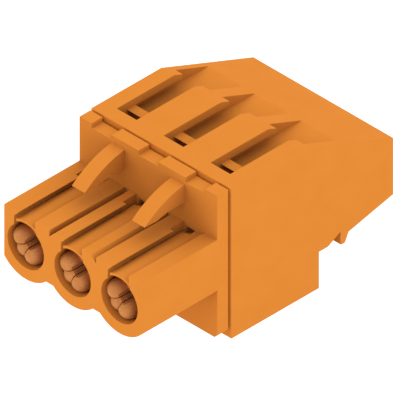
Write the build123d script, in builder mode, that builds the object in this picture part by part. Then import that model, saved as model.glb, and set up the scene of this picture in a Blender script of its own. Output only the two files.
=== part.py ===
from build123d import *
import os

# Pluggable spring-clamp plug that mates with a pin header. Its poles lie side by side
# along X, the sockets face -Y and the wires leave towards +Y. The origin is the middle
# of the footprint at the lowest face. Millimetres.
# A "depth" is a distance along Y from the seam between the two mouldings, negative
# towards the sockets. A "height" is a distance up from the lowest face.

# Poles
pole_count = 3
pitch = 5.08

# Rear housing, which holds the clamps
housing_length = 17.6
housing_height = 14.1
flat_top_length = 7.6
wire_face_top = 10.1
wire_face_bottom = 4.8
foot_length = 9.54
step_height = 3.4
step_length = 0.96
peg_depth = 11.85
peg_width = 0.5
peg_bottom = 2.87
peg_root_height = 4.12
belly_start = 0.9
belly_start_height = 3.7
housing_edge_radius = 0.08
peg_tip_radius = 0.15

# Screwdriver channels and the slots above them
channel_width = 3.75
channel_height = 1.07
roof_thickness = 0.7
channel_floor_thickness = 0.7
slot_width = 2.15
slot_front = 1.35
slot_overrun = 0.9
slit_length = 1.15
slit_undercut = 0.6
bridge_length = 0.9
blade_window_length = 1.0

# Clamp chambers and wire entries
chamber_floor = 4.2
chamber_length = 9.4
well_length = 4.7
wire_axis_height = 7.3
wire_hole_radius = 1.2
wire_funnel_radius = 2.0
wire_funnel_length = 4.6
wire_taper_length = 1.2
wire_mouth_chamfer = 0.25

# Front housing: plate, barrels and the pad that seats on the rear housing
front_reach = 9.6
plate_front = 1.38
seam_gap = 0.2
plate_inset = 0.15
plate_bottom = 0.66
plate_top_step = 0.04
plate_corner_chamfer = 0.3
notch_depth = 0.42
pad_lap = 0.2
pad_bottom = 1.4

axis_height = 7.12
barrel_radius = 3.08
barrel_rise = 2.81
web_drop = 2.22
barrel_edge_chamfer = 0.05
socket_radius = 1.98
socket_length = 7.4
relief_depth = 0.19
relief_left = 1.28
relief_right = 1.12

# Coding groove along the top of each barrel
groove_left = 1.28
groove_slit = 0.25
groove_right = 1.0
groove_floor_wall = 0.2
slit_depth = 1.82
lip_reach = 0.42
lip_edge_thickness = 0.06
lip_root_thickness = 0.5
lip_end = 6.7
peephole_length = 0.55
peephole_recess = 0.5
peephole_drop = 0.35
peephole_left = 1.0
peephole_right = 0.05

# Sloping valleys beside the hooks
valley_width = 0.57
valley_front_drop = 0.57
valley_rear_drop = 1.5

# Latching hooks, with their heights above the barrels
hook_spacing = 6.5
hook_width = 1.4
hook_root_rise = 3.48
hook_crest_depth = 4.04
hook_crest_rise = 2.67
hook_tip_depth = 5.73
hook_tip_rise = 1.57
hook_throat_depth = 4.44
hook_throat_rise = 1.52
hook_heel_depth = 3.24
hook_heel_rise = 1.78

# Snap tongues that hold the two housings together
tongue_width = 2.6
tongue_thickness = 0.65
tongue_clearance = 0.1
snap_front = 1.35
snap_length = 1.1
nose_height = 0.6
nose_lead = 0.45

# Socket contact with its current bar
pin_radius = 0.5
sleeve_radius = 1.25
sleeve_inset = 1.25
sleeve_slit = 0.3
sleeve_slit_angle = 45
back_slit = 0.1
finger_radius = 0.84
finger_clearance = 0.03
finger_inset = 0.95
left_finger_angle = 174
lower_finger_angle = 275
back_finger_radius = 0.8
back_finger_inset = 1.0
collar_clearance = 0.23
collar_length = 1.6
flange_clearance = 0.1
flange_width = 3.2
flange_drop = 1.62
sheet_thickness = 0.6
bar_rise = 1.0
bar_width = 3.0
bar_end_gap = 0.8
bar_waist_width = 2.0
bar_waist_length = 0.9

# Clamp spring
spring_width = 3.3
spring_thickness = 0.3
spring_bend_radius = 0.5
spring_loop_flat = 0.38
spring_top_gap = 0.1
spring_rear_gap = 0.2
clamp_setback = 0.95
clamp_leg_drop = 0.8
bar_leg_setback = 1.45
clamp_window_width = 2.25
clamp_window_rise = 1.5
clamp_clearance = 0.05

# Values that follow from the ones above
housing_width = pole_count * pitch
seam_y = (front_reach - housing_length) / 2
channel_roof = housing_height - roof_thickness
channel_floor = channel_roof - channel_height
chamber_roof = channel_floor - channel_floor_thickness
slot_rear = flat_top_length + slot_overrun
bridge_depth = slot_front + slit_length
channel_start = bridge_depth + bridge_length
block_width = housing_width - 2 * plate_inset
plate_top = housing_height - plate_top_step
barrel_top = axis_height + barrel_rise
flange_depth = socket_length - front_reach
flange_bottom = axis_height - flange_drop
bar_underside = wire_axis_height + bar_rise
bar_top = bar_underside + sheet_thickness
clamp_depth = well_length - clamp_setback
snap_end = snap_front + snap_length
relief_radius = socket_radius + relief_depth
groove_floor_radius = relief_radius + groove_floor_wall
cut_over = 1.0


def front_plane(depth):
    """A plane across the plug at a depth. Its sketches read as seen from the sockets."""
    return Plane(origin=(0, seam_y + depth, 0), x_dir=(1, 0, 0), z_dir=(0, -1, 0))


def level_plane(height):
    """A plane at a height, whose Y is the depth."""
    return Plane(origin=(0, seam_y, height), x_dir=(1, 0, 0), z_dir=(0, 0, 1))


def side_plane(x=0.0, base=0.0):
    """A plane along the plug, whose X is the depth and whose Y is the height on a base."""
    return Plane(origin=(x, seam_y, base), x_dir=(0, 1, 0), z_dir=(1, 0, 0))


def pole_places():
    """One place for each pole, side by side."""
    return GridLocations(pitch, 1, pole_count, 1)


def cut_box(width, depths, heights):
    """Cuts a straight-sided pocket at every pole, between two depths and two heights."""
    near, far = depths
    low, high = heights
    with BuildSketch(level_plane(low)) as pocket:
        with Locations((0, (near + far) / 2)):
            with pole_places():
                Rectangle(width, far - near)
    extrude(pocket.sketch, amount=high - low, mode=Mode.SUBTRACT)


def make_rear_housing():
    """The closed body behind the seam, cut from its side view."""
    peg_rear = peg_depth + peg_width
    side_view = [
        ((0, 0), housing_edge_radius),
        ((foot_length, 0), housing_edge_radius),
        ((foot_length, step_height), 0),
        ((foot_length + step_length, step_height), 0),
        ((peg_depth, peg_root_height), 0),
        ((peg_depth, peg_bottom), peg_tip_radius),
        ((peg_rear, peg_bottom), peg_tip_radius),
        ((peg_depth + belly_start, belly_start_height), 0),
        ((housing_length, wire_face_bottom), housing_edge_radius),
        ((housing_length, wire_face_top), housing_edge_radius),
        ((flat_top_length, housing_height), housing_edge_radius),
        ((0, housing_height), housing_edge_radius),
    ]
    above = housing_height + cut_over
    with BuildPart() as rear_housing:
        with BuildSketch(side_plane()):
            with BuildLine():
                FilletPolyline(
                    [point for point, radius in side_view],
                    radius=[radius for point, radius in side_view],
                    close=True,
                )
            make_face()
        extrude(amount=housing_width / 2, both=True)
        flanks = rear_housing.faces().filter_by(Axis.X)
        fillet(flanks.edges(), radius=housing_edge_radius)

        # The chamber is open towards the seam, and its rear half stands on the wire duct
        cut_box(channel_width, (-cut_over, well_length), (chamber_floor, chamber_roof))
        cut_box(channel_width, (well_length, chamber_length), (bar_underside, chamber_roof))

        # Pockets in the chamber floors for the noses of the snap tongues
        snap_heights = (chamber_floor - nose_height - tongue_clearance, chamber_floor)
        cut_box(tongue_width + 2 * tongue_clearance, (snap_front, snap_end), snap_heights)

        # The screwdriver channel runs out through the sloping top
        cut_box(channel_width, (channel_start, slot_rear), (channel_floor, channel_roof))
        cut_box(channel_width, (slot_rear, housing_length), (channel_floor, above))
        window_end = channel_start + blade_window_length
        cut_box(channel_width, (channel_start, window_end), (chamber_roof, channel_floor))

        # The slot above it, with a slit in front that undercuts the bridge on its way
        # to the chamber
        cut_box(slot_width, (bridge_depth, slot_rear), (channel_roof, above))
        with BuildSketch(side_plane()) as slit_view:
            Polygon(
                (slot_front, above),
                (slot_front, chamber_roof),
                (bridge_depth + slit_undercut, chamber_roof),
                (bridge_depth + slit_undercut, channel_roof - slit_undercut),
                (bridge_depth, channel_roof),
                (bridge_depth, above),
                align=None,
            )
        slit = extrude(slit_view.sketch, amount=slot_width / 2, both=True, mode=Mode.PRIVATE)
        with pole_places():
            add(slit, mode=Mode.SUBTRACT)

        # Wire entries: chamfered mouth, funnel, taper and duct
        funnel_depth = housing_length - wire_funnel_length
        mouth_radius = wire_funnel_radius + wire_mouth_chamfer
        entry_profile = [
            (well_length - cut_over, 0),
            (well_length - cut_over, wire_hole_radius),
            (funnel_depth - wire_taper_length, wire_hole_radius),
            (funnel_depth, wire_funnel_radius),
            (housing_length - wire_mouth_chamfer, wire_funnel_radius),
            (housing_length, mouth_radius),
            (housing_length + cut_over, mouth_radius),
            (housing_length + cut_over, 0),
        ]
        with BuildSketch(side_plane(base=wire_axis_height)) as entry_section:
            Polygon(*entry_profile, align=None)
        wire_axis = Axis((0, 0, wire_axis_height), (0, 1, 0))
        entry = revolve(entry_section.sketch, axis=wire_axis, mode=Mode.PRIVATE)
        with pole_places():
            add(entry, mode=Mode.SUBTRACT)
    rear_housing.part.label = "rear_housing"
    return rear_housing.part


def make_barrel_section():
    """The outline of the barrels from the front: round below, square above."""
    with BuildSketch() as section:
        with Locations((0, axis_height)):
            with pole_places():
                Circle(barrel_radius)
        with Locations((0, axis_height)):
            Rectangle(block_width, barrel_rise, align=(Align.CENTER, Align.MIN))
            Rectangle(pitch * (pole_count - 1), web_drop, align=(Align.CENTER, Align.MAX))
        with Locations((0, barrel_top)):
            Rectangle(
                block_width,
                housing_height,
                align=(Align.CENTER, Align.MAX),
                mode=Mode.INTERSECT,
            )
    return section.sketch


def make_socket_section():
    """One socket about its axis: a round bore with a shallow relief at the top."""
    with BuildSketch() as section:
        Circle(relief_radius)
        with Locations(((relief_right - relief_left) / 2, 0)):
            Rectangle(
                relief_left + relief_right,
                relief_radius,
                align=(Align.CENTER, Align.MIN),
                mode=Mode.INTERSECT,
            )
        Circle(socket_radius)
    return section.sketch


def floor_point(x):
    """A point of the groove's floor, which is round about the socket's axis."""
    return (x, (groove_floor_radius**2 - x**2) ** 0.5 - barrel_rise)


def make_groove_section():
    """One coding groove about the top of its barrel: a lip, a slit and a round floor."""
    lip_edge = lip_reach - groove_left
    slit_right = groove_slit - groove_left
    with BuildSketch() as section:
        with BuildLine():
            floor = ThreePointArc(
                floor_point(slit_right), floor_point(0), floor_point(groove_right)
            )
            Polyline(
                floor @ 1,
                (groove_right, cut_over),
                (lip_edge, cut_over),
                (lip_edge, -lip_edge_thickness),
                (-groove_left, -lip_root_thickness),
                (-groove_left, -slit_depth),
                (slit_right, -slit_depth),
                floor @ 0,
            )
        make_face()
    return section.sketch


def make_hook_side_view():
    """The side view of one latching hook, from its root in the plate to its tip."""
    with BuildSketch(side_plane(base=barrel_top)) as side_view:
        with BuildLine():
            crest = ThreePointArc(
                (-plate_front, hook_root_rise),
                (-hook_crest_depth, hook_crest_rise),
                (-hook_tip_depth, hook_tip_rise),
            )
            Polyline(
                crest @ 1,
                (-hook_throat_depth, hook_throat_rise),
                (-hook_heel_depth, hook_heel_rise),
                (-plate_front, hook_heel_rise),
                crest @ 0,
            )
        make_face()
    return side_view.sketch


def make_front_housing():
    """The contact carrier: end plate, barrels, latching hooks and snap tongues."""
    block_length = front_reach - plate_front
    plate_thickness = plate_front - seam_gap
    plate_height = plate_top - plate_bottom
    pad_height = chamber_roof + pad_lap - pad_bottom
    pad_width = pitch * (pole_count - 1) + channel_width + 2 * pad_lap
    with BuildPart() as front_housing:
        # Barrels
        with BuildSketch(front_plane(-front_reach)):
            add(make_barrel_section())
        extrude(amount=-block_length)
        face = front_housing.faces().sort_by(Axis.Y)[0]
        chamfer(face.outer_wire().edges(), length=barrel_edge_chamfer)

        # End plate, with one notch over each pole
        with BuildSketch(front_plane(-plate_front)):
            with Locations((0, plate_bottom)):
                Rectangle(block_width, plate_height, align=(Align.CENTER, Align.MIN))
        extrude(amount=-plate_thickness)
        low = front_housing.edges().filter_by(Axis.Y).group_by(Axis.Z)[0]
        chamfer(low, length=plate_corner_chamfer)
        notch_heights = (plate_top - notch_depth, plate_top + cut_over)
        cut_box(slot_width, (-plate_front - cut_over, 0), notch_heights)

        # Pad behind the plate that seats on the rear housing, over the chambers' mouths
        with BuildSketch(front_plane(-seam_gap)):
            with Locations((0, pad_bottom)):
                Rectangle(pad_width, pad_height, align=(Align.CENTER, Align.MIN))
        extrude(amount=-seam_gap)

        # Latching hooks
        hook = extrude(
            make_hook_side_view(), amount=hook_width / 2, both=True, mode=Mode.PRIVATE
        )
        with GridLocations(hook_spacing, 1, 2, 1):
            add(hook)

        # Sockets, and behind each a pocket for the contact's flange
        with BuildSketch(front_plane(-front_reach)):
            with Locations((0, axis_height)):
                with pole_places():
                    add(make_socket_section())
        extrude(amount=-socket_length, mode=Mode.SUBTRACT)
        pocket_heights = (flange_bottom - flange_clearance, bar_top + flange_clearance)
        pocket_width = flange_width + 2 * flange_clearance
        cut_box(pocket_width, (flange_depth, cut_over), pocket_heights)

        # Coding grooves, whose overhanging lip stops short of the plate
        with BuildSketch(front_plane(-front_reach)):
            with Locations((0, barrel_top)):
                with pole_places():
                    add(make_groove_section())
        extrude(amount=-block_length, mode=Mode.SUBTRACT)
        with BuildSketch(front_plane(lip_end - front_reach)):
            with Locations((0, barrel_top - lip_root_thickness)):
                with pole_places():
                    with Locations((-groove_left, 0)):
                        Rectangle(
                            lip_reach,
                            lip_root_thickness + cut_over,
                            align=(Align.MIN, Align.MIN),
                        )
        extrude(amount=lip_end - block_length, mode=Mode.SUBTRACT)

        # Peephole at the rear end of each groove, down into the socket and a little
        # way into the plate
        for length, rise in (
            (peephole_length, barrel_rise),
            (-peephole_recess, barrel_rise - peephole_drop),
        ):
            with BuildSketch(front_plane(-plate_front)):
                with Locations((0, axis_height)):
                    with pole_places():
                        with Locations((-peephole_left, 0)):
                            Rectangle(
                                peephole_left - peephole_right,
                                rise,
                                align=(Align.MIN, Align.MIN),
                            )
            extrude(amount=length, mode=Mode.SUBTRACT)

        # Valleys that deepen from the front to the plate beside the hooks
        flank = (hook_spacing - hook_width) / 2
        for side in (-1, 1):
            for depth, drop in (
                (-front_reach, valley_front_drop),
                (-plate_front, valley_rear_drop),
            ):
                with BuildSketch(front_plane(depth)):
                    Polygon(
                        (side * flank, barrel_top),
                        (side * (flank - valley_width), barrel_top),
                        (side * flank, barrel_top - drop),
                        align=None,
                    )
            loft(mode=Mode.SUBTRACT)

        # Snap tongues, whose noses hook down into the floors of the chambers
        tongue_bottom = chamber_floor + tongue_clearance
        tongue_top = tongue_bottom + tongue_thickness
        tongue_end = snap_end - tongue_clearance
        nose_front = snap_front + tongue_clearance
        nose_bottom = chamber_floor - nose_height
        with BuildSketch(side_plane()) as tongue_view:
            Polygon(
                (-seam_gap, tongue_top),
                (-seam_gap, tongue_bottom),
                (nose_front, tongue_bottom),
                (nose_front, nose_bottom),
                (tongue_end - nose_lead, nose_bottom),
                (tongue_end, tongue_bottom),
                (tongue_end, tongue_top),
                align=None,
            )
        tongue = extrude(
            tongue_view.sketch, amount=tongue_width / 2, both=True, mode=Mode.PRIVATE
        )
        with pole_places():
            add(tongue)
    front_housing.part.label = "front_housing"
    return front_housing.part


def make_socket_contact(x):
    """One contact: three sprung fingers on a split sleeve, a flange and a bar."""
    sleeve_depth = sleeve_inset - front_reach
    collar_depth = flange_depth - collar_length
    collar_radius = socket_radius - collar_clearance
    back_finger_angle = (left_finger_angle + lower_finger_angle) / 2
    bar_length = chamber_length - bar_end_gap
    with BuildPart() as contact:
        with BuildSketch(front_plane(sleeve_depth)):
            with Locations((x, axis_height)):
                Circle(sleeve_radius)
        extrude(amount=sleeve_depth - flange_depth)
        with BuildSketch(front_plane(flange_depth)):
            with Locations((x, axis_height)):
                Circle(collar_radius)
        extrude(amount=collar_length)

        # Round-nosed fingers, open towards the upper right
        for angle, radius, inset in (
            (left_finger_angle, finger_radius, finger_inset),
            (back_finger_angle, back_finger_radius, back_finger_inset),
            (lower_finger_angle, finger_radius, finger_inset),
        ):
            finger_depth = inset - front_reach
            offset = socket_radius - finger_clearance - radius
            with BuildSketch(front_plane(finger_depth)):
                with Locations((x, axis_height)):
                    with PolarLocations(offset, 1, start_angle=angle):
                        Circle(radius)
            extrude(amount=finger_depth - collar_depth)
            with Locations(front_plane(finger_depth)):
                with Locations((x, axis_height)):
                    with PolarLocations(offset, 1, start_angle=angle):
                        Sphere(radius)

        # Pin seat, and the slits that part the three fingers
        with BuildSketch(front_plane(-front_reach)):
            with Locations((x, axis_height)):
                Circle(pin_radius)
        extrude(amount=-socket_length, mode=Mode.SUBTRACT)
        with BuildSketch(front_plane(sleeve_depth)):
            with Locations((x, axis_height)):
                Rectangle(
                    socket_radius,
                    sleeve_slit,
                    rotation=sleeve_slit_angle,
                    align=(Align.MIN, Align.CENTER),
                )
        extrude(amount=sleeve_depth - collar_depth, mode=Mode.SUBTRACT)
        with BuildSketch(front_plane(-front_reach)):
            with Locations((x, axis_height)):
                for angle in (left_finger_angle, lower_finger_angle):
                    Rectangle(
                        socket_radius,
                        back_slit,
                        rotation=(angle + back_finger_angle) / 2,
                        align=(Align.MIN, Align.CENTER),
                    )
        extrude(amount=-front_reach - collar_depth, mode=Mode.SUBTRACT)

        # Flange and current bar, waisted where the clamp grips
        with BuildSketch(front_plane(flange_depth)):
            with Locations((x, flange_bottom)):
                Rectangle(
                    flange_width, bar_top - flange_bottom, align=(Align.CENTER, Align.MIN)
                )
        extrude(amount=-sheet_thickness)
        with BuildSketch(level_plane(bar_underside)):
            with Locations((x, flange_depth)):
                Rectangle(
                    bar_width, bar_length - flange_depth, align=(Align.CENTER, Align.MIN)
                )
            with Locations((x, clamp_depth)):
                Rectangle(bar_width, bar_waist_length, mode=Mode.SUBTRACT)
                Rectangle(bar_waist_width, bar_waist_length)
        extrude(amount=sheet_thickness)
    return contact.part


def make_clamp_spring(x):
    """One cage clamp: a leg on the bar, a loop, and a leg with a window for the wire."""
    half = spring_thickness / 2
    leg_height = bar_top + half
    top_height = chamber_roof - spring_top_gap - half
    loop_depth = chamber_length - spring_rear_gap - half
    loop_radius = (top_height - leg_height - spring_loop_flat) / 2
    with BuildPart() as spring:
        with BuildSketch(side_plane(x)):
            with BuildLine():
                FilletPolyline(
                    (clamp_depth + bar_leg_setback, leg_height),
                    (loop_depth, leg_height),
                    (loop_depth, top_height),
                    (clamp_depth, top_height),
                    (clamp_depth, wire_axis_height - clamp_leg_drop),
                    radius=(loop_radius, loop_radius, spring_bend_radius),
                )
            trace(line_width=spring_thickness)
        extrude(amount=spring_width / 2, both=True)
        window_bottom = bar_underside - clamp_clearance
        with BuildSketch(front_plane(clamp_depth)):
            with Locations((x, window_bottom)):
                Rectangle(
                    clamp_window_width,
                    bar_top + clamp_window_rise - window_bottom,
                    align=(Align.CENTER, Align.MIN),
                )
        extrude(amount=spring_thickness, both=True, mode=Mode.SUBTRACT)
    return spring.part


os.makedirs("parts", exist_ok=True)
export_step(make_rear_housing(), "parts/rear_housing.step")
export_step(make_front_housing(), "parts/front_housing.step")
for pole in range(pole_count):
    pole_x = (pole - (pole_count - 1) / 2) * pitch
    contact = make_socket_contact(pole_x)
    contact.label = f"socket_contact_{pole + 1}"
    export_step(contact, f"parts/{contact.label}.step")
    spring = make_clamp_spring(pole_x)
    spring.label = f"clamp_spring_{pole + 1}"
    export_step(spring, f"parts/{spring.label}.step")
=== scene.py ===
"""Looks of the three-pole spring-clamp plug: mouldings, contacts, clamps and studio."""

import math

import bmesh
import bpy
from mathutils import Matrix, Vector


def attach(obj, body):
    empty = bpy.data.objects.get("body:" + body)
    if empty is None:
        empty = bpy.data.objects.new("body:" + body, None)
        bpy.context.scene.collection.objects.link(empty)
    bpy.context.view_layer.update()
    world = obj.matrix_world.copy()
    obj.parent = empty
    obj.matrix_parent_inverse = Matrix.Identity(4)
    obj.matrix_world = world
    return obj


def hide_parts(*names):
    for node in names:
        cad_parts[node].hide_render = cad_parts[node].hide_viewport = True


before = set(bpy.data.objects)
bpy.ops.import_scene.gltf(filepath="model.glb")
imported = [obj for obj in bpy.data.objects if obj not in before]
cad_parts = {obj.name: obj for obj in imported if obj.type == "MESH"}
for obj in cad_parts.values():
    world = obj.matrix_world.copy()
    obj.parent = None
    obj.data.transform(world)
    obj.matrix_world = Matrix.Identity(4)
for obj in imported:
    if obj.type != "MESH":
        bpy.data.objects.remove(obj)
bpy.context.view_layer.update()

MM = 0.001
WHITE = (1, 1, 1)

# Camera

VIEW_AZIMUTH = math.radians(45.0)
VIEW_ELEVATION = math.radians(35.264)
VIEW_WIDTH = 30.667 * MM
VIEW_TARGET = Vector((0.108, 0.108, 7.26)) * MM
CAMERA_DISTANCE = 400 * MM
CLIP_START = 10 * MM
CLIP_END = 2000 * MM


def make_camera():
    """An isometric camera without perspective, at the right front corner."""
    camera = bpy.data.cameras.new("studio_camera")
    camera.type = "ORTHO"
    camera.ortho_scale = VIEW_WIDTH
    camera.clip_start = CLIP_START
    camera.clip_end = CLIP_END
    back = Vector(
        (
            math.sin(VIEW_AZIMUTH) * math.cos(VIEW_ELEVATION),
            -math.cos(VIEW_AZIMUTH) * math.cos(VIEW_ELEVATION),
            math.sin(VIEW_ELEVATION),
        )
    )
    holder = bpy.data.objects.new("studio_camera", camera)
    holder.location = VIEW_TARGET + back * CAMERA_DISTANCE
    holder.rotation_euler = back.to_track_quat("Z", "Y").to_euler()
    bpy.context.scene.collection.objects.link(holder)
    bpy.context.scene.camera = holder


# Nodes that the finishes share

NOISE_MIDDLE = (0.3, 0.7)


def start_material(name):
    """A new node material, with its tree and its shader."""
    material = bpy.data.materials.new(name)
    material.use_nodes = True
    tree = material.node_tree
    return material, tree, tree.nodes["Principled BSDF"]


def set_values(node, values):
    """Sets the inputs of a node that are the same all over."""
    for socket, value in values.items():
        node.inputs[socket].default_value = value


def add_noise(tree, size, detail=2.0, stretch=(1, 1, 1)):
    """Noise with blotches of about this size in metres, longer where stretch is small."""
    place = tree.nodes.new("ShaderNodeTexCoord")
    mapping = tree.nodes.new("ShaderNodeMapping")
    noise = tree.nodes.new("ShaderNodeTexNoise")
    set_values(mapping, {"Scale": stretch})
    set_values(noise, {"Scale": 1 / size, "Detail": detail})
    tree.links.new(place.outputs["Object"], mapping.inputs["Vector"])
    tree.links.new(mapping.outputs["Vector"], noise.inputs["Vector"])
    return noise.outputs["Fac"]


def spread_noise(tree, noise, low, high):
    """Spreads the middle of a noise over the range from low to high."""
    spread = tree.nodes.new("ShaderNodeMapRange")
    start, end = NOISE_MIDDLE
    set_values(spread, {"From Min": start, "From Max": end, "To Min": low, "To Max": high})
    tree.links.new(noise, spread.inputs["Value"])
    return spread.outputs["Result"]


def mix_colours(tree, amount, first, second):
    """A blend of two colours by an amount that varies over the surface."""
    mix = tree.nodes.new("ShaderNodeMix")
    mix.data_type = "RGBA"
    set_values(mix, {"A": (*first, 1), "B": (*second, 1)})
    tree.links.new(amount, mix.inputs["Factor"])
    return mix.outputs["Result"]


def add_bump(tree, shader, height, depth, strength):
    """Lets a height pattern of this depth in metres disturb the shader's normal."""
    bump = tree.nodes.new("ShaderNodeBump")
    set_values(bump, {"Distance": depth, "Strength": strength})
    tree.links.new(height, bump.inputs["Height"])
    tree.links.new(bump.outputs["Normal"], shader.inputs["Normal"])


# Plastic of the two housings

HOUSING_ORANGE = (0.592, 0.199, 0.0298)
HOUSING_DEEP = (0.575, 0.19, 0.0266)
HOUSING_ROUGHNESS = (0.54, 0.64)
HOUSING_GLOSS = 0.004
HOUSING_IOR = 1.5
FLOW_CLOUD_SIZE = 2.4 * MM
MOULD_GRAIN_SIZE = 0.11 * MM
MOULD_GRAIN_DEPTH = 0.006 * MM
RECESS_REACH = 9 * MM
# Painted shade: the factor, per channel, that the colour is darkened by in the deepest
# recesses.
PAINTED_RECESS_SHADE = (0.65, 0.7, 0.9)
RECESS_SAMPLES = 8


def paint_recess_shade(tree, colour):
    """Paints shade into a colour where the surface lies in a narrow recess: the colour is
    darkened in creases and gaps. Most of its blue is kept, because light that goes round
    in the recess loses its blue by itself."""
    openness = tree.nodes.new("ShaderNodeAmbientOcclusion")
    openness.samples = RECESS_SAMPLES
    openness.only_local = True
    set_values(openness, {"Distance": RECESS_REACH})
    painted_shade = mix_colours(tree, openness.outputs["AO"], PAINTED_RECESS_SHADE, WHITE)
    shaded = tree.nodes.new("ShaderNodeVectorMath")
    shaded.operation = "MULTIPLY"
    tree.links.new(colour, shaded.inputs[0])
    tree.links.new(painted_shade, shaded.inputs[1])
    return shaded.outputs["Vector"]


def make_housing_plastic():
    """Moulded plastic: a fine spark-eroded grain and faint flow clouds, with painted shade
    darkening its recesses.
    """
    material, tree, shader = start_material("housing_plastic")
    grain = add_noise(tree, MOULD_GRAIN_SIZE)
    clouds = spread_noise(tree, add_noise(tree, FLOW_CLOUD_SIZE, detail=3.0), 0.0, 1.0)
    colour = mix_colours(tree, clouds, HOUSING_ORANGE, HOUSING_DEEP)
    roughness = spread_noise(tree, grain, *HOUSING_ROUGHNESS)
    # The base colour carries painted shade: an ambient-occlusion mask darkens it in
    # recesses and gaps.
    tree.links.new(paint_recess_shade(tree, colour), shader.inputs["Base Color"])
    tree.links.new(roughness, shader.inputs["Roughness"])
    set_values(shader, {"Specular IOR Level": HOUSING_GLOSS, "IOR": HOUSING_IOR})
    add_bump(tree, shader, grain, MOULD_GRAIN_DEPTH, strength=0.35)
    return material


# Metal of the contacts and the springs

CONTACT_COPPER = (0.66, 0.315, 0.115)
CONTACT_TARNISH = (0.58, 0.265, 0.085)
CONTACT_ROUGHNESS = (0.78, 0.88)
TARNISH_SIZE = 0.9 * MM
DRAWN_LINE_WIDTH = 0.12 * MM
DRAWN_LINE_DEPTH = 0.004 * MM
DRAWN_STRETCH = (1, 0.08, 1)
SPRING_STEEL = (0.62, 0.61, 0.59)
SPRING_SHADE = (0.5, 0.49, 0.48)
SPRING_ROUGHNESS = (0.24, 0.4)
ROLLED_LINE_WIDTH = 0.06 * MM
ROLLED_LINE_DEPTH = 0.003 * MM
ROLLED_STRETCH = (1, 0.05, 0.05)


def make_contact_copper():
    """Copper alloy, drawn along the contact, with a slight tarnish."""
    material, tree, shader = start_material("contact_copper")
    drawn = add_noise(tree, DRAWN_LINE_WIDTH, stretch=DRAWN_STRETCH)
    tarnish = spread_noise(tree, add_noise(tree, TARNISH_SIZE, detail=3.0), 0.0, 1.0)
    colour = mix_colours(tree, tarnish, CONTACT_COPPER, CONTACT_TARNISH)
    roughness = spread_noise(tree, drawn, *CONTACT_ROUGHNESS)
    tree.links.new(colour, shader.inputs["Base Color"])
    tree.links.new(roughness, shader.inputs["Roughness"])
    set_values(shader, {"Metallic": 1.0})
    add_bump(tree, shader, drawn, DRAWN_LINE_DEPTH, strength=0.3)
    return material


def make_spring_steel():
    """Stainless strip with the fine lines that rolling leaves."""
    material, tree, shader = start_material("spring_steel")
    rolled = add_noise(tree, ROLLED_LINE_WIDTH, stretch=ROLLED_STRETCH)
    colour = mix_colours(tree, rolled, SPRING_STEEL, SPRING_SHADE)
    roughness = spread_noise(tree, rolled, *SPRING_ROUGHNESS)
    tree.links.new(colour, shader.inputs["Base Color"])
    tree.links.new(roughness, shader.inputs["Roughness"])
    set_values(shader, {"Metallic": 1.0})
    add_bump(tree, shader, rolled, ROLLED_LINE_DEPTH, strength=0.3)
    return material


# Surfaces of the two housings

HOUSING_SLOTS = {"rear_housing": "housing", "front_housing": "carrier"}
SMOOTH_ANGLE = math.radians(18)
WELD_DISTANCE = 0.0005 * MM
LARGEST_FACE_RULES = 100
AUTOMATIC_NORMAL = (0, 0, 0)


def join_triangles(mesh):
    """Joins a mesh's loose triangles, and leaves edges smooth only on round faces."""
    joined = bmesh.new()
    joined.from_mesh(mesh)
    bmesh.ops.remove_doubles(joined, verts=joined.verts, dist=WELD_DISTANCE)
    bmesh.ops.dissolve_degenerate(joined, edges=joined.edges, dist=WELD_DISTANCE)
    for face in joined.faces:
        face.smooth = True
    for edge in joined.edges:
        edge.smooth = edge.calc_face_angle(math.pi) < SMOOTH_ANGLE
    joined.to_mesh(mesh)
    joined.free()
    mesh.normals_split_custom_set([AUTOMATIC_NORMAL] * len(mesh.loops))


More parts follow.
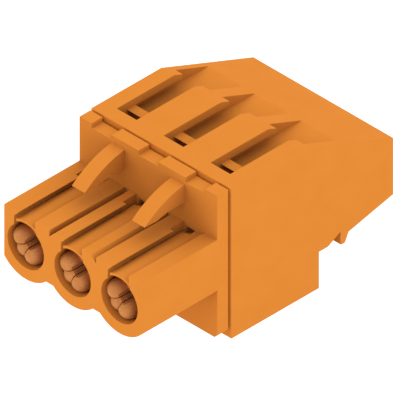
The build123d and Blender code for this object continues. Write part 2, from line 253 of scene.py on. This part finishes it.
def make_surface(node, finish):
    """A node's shape with its triangles joined, so that round faces are smooth and
    flat ones, which weigh the most, stay flat. It stands for the node."""
    mesh = node.data.copy()
    join_triangles(mesh)
    mesh.materials.clear()
    mesh.materials.append(finish)
    piece = bpy.data.objects.new(f"{node.name}_surface", mesh)
    bpy.context.scene.collection.objects.link(piece)
    weighing = piece.modifiers.new("weighing", "WEIGHTED_NORMAL")
    weighing.mode = "FACE_AREA"
    weighing.weight = LARGEST_FACE_RULES
    weighing.keep_sharp = True
    evaluated = piece.evaluated_get(bpy.context.evaluated_depsgraph_get())
    piece.data = bpy.data.meshes.new_from_object(evaluated)
    piece.modifiers.clear()
    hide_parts(node.name)
    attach(piece, "root")


def dress_node(node, finish):
    """Gives a node that shows as it is its finish."""
    node.data.materials.clear()
    node.data.materials.append(finish)


# Studio

LIGHT_STRENGTH = 1.4
FLOOR_REACH = 600 * MM
FLOOR_GREY = (0.2, 0.2, 0.2)
FLOOR_GLOW = 1.1
FLOOR_ROUGHNESS = 0.9


def make_world():
    """Even white light from every side."""
    world = bpy.data.worlds.new("studio_light")
    world.use_nodes = True
    background = world.node_tree.nodes["Background"]
    set_values(background, {"Color": (*WHITE, 1), "Strength": LIGHT_STRENGTH})
    bpy.context.scene.world = world


def make_floor():
    """A wide white floor that the plug stands on."""
    far = FLOOR_REACH
    mesh = bpy.data.meshes.new("studio_floor")
    corners = [(-far, -far, 0), (far, -far, 0), (far, far, 0), (-far, far, 0)]
    mesh.from_pydata(corners, [], [(0, 1, 2, 3)])
    floor = bpy.data.objects.new("studio_floor", mesh)
    bpy.context.scene.collection.objects.link(floor)
    material, _, shader = start_material("studio_floor")
    looks = {
        "Base Color": (*FLOOR_GREY, 1),
        "Roughness": FLOOR_ROUGHNESS,
        "Specular IOR Level": 0.0,
        "Emission Color": (*WHITE, 1),
        "Emission Strength": FLOOR_GLOW,
    }
    set_values(shader, looks)
    mesh.materials.append(material)


# Making

make_camera()
make_world()
make_floor()
bpy.context.scene.view_settings.view_transform = "Standard"

housing_plastic = make_housing_plastic()
contact_copper = make_contact_copper()
spring_steel = make_spring_steel()
for name, node in list(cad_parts.items()):
    if name in HOUSING_SLOTS:
        make_surface(node, housing_plastic)
    elif name.startswith("socket_contact"):
        dress_node(node, contact_copper)
    else:
        dress_node(node, spring_steel)
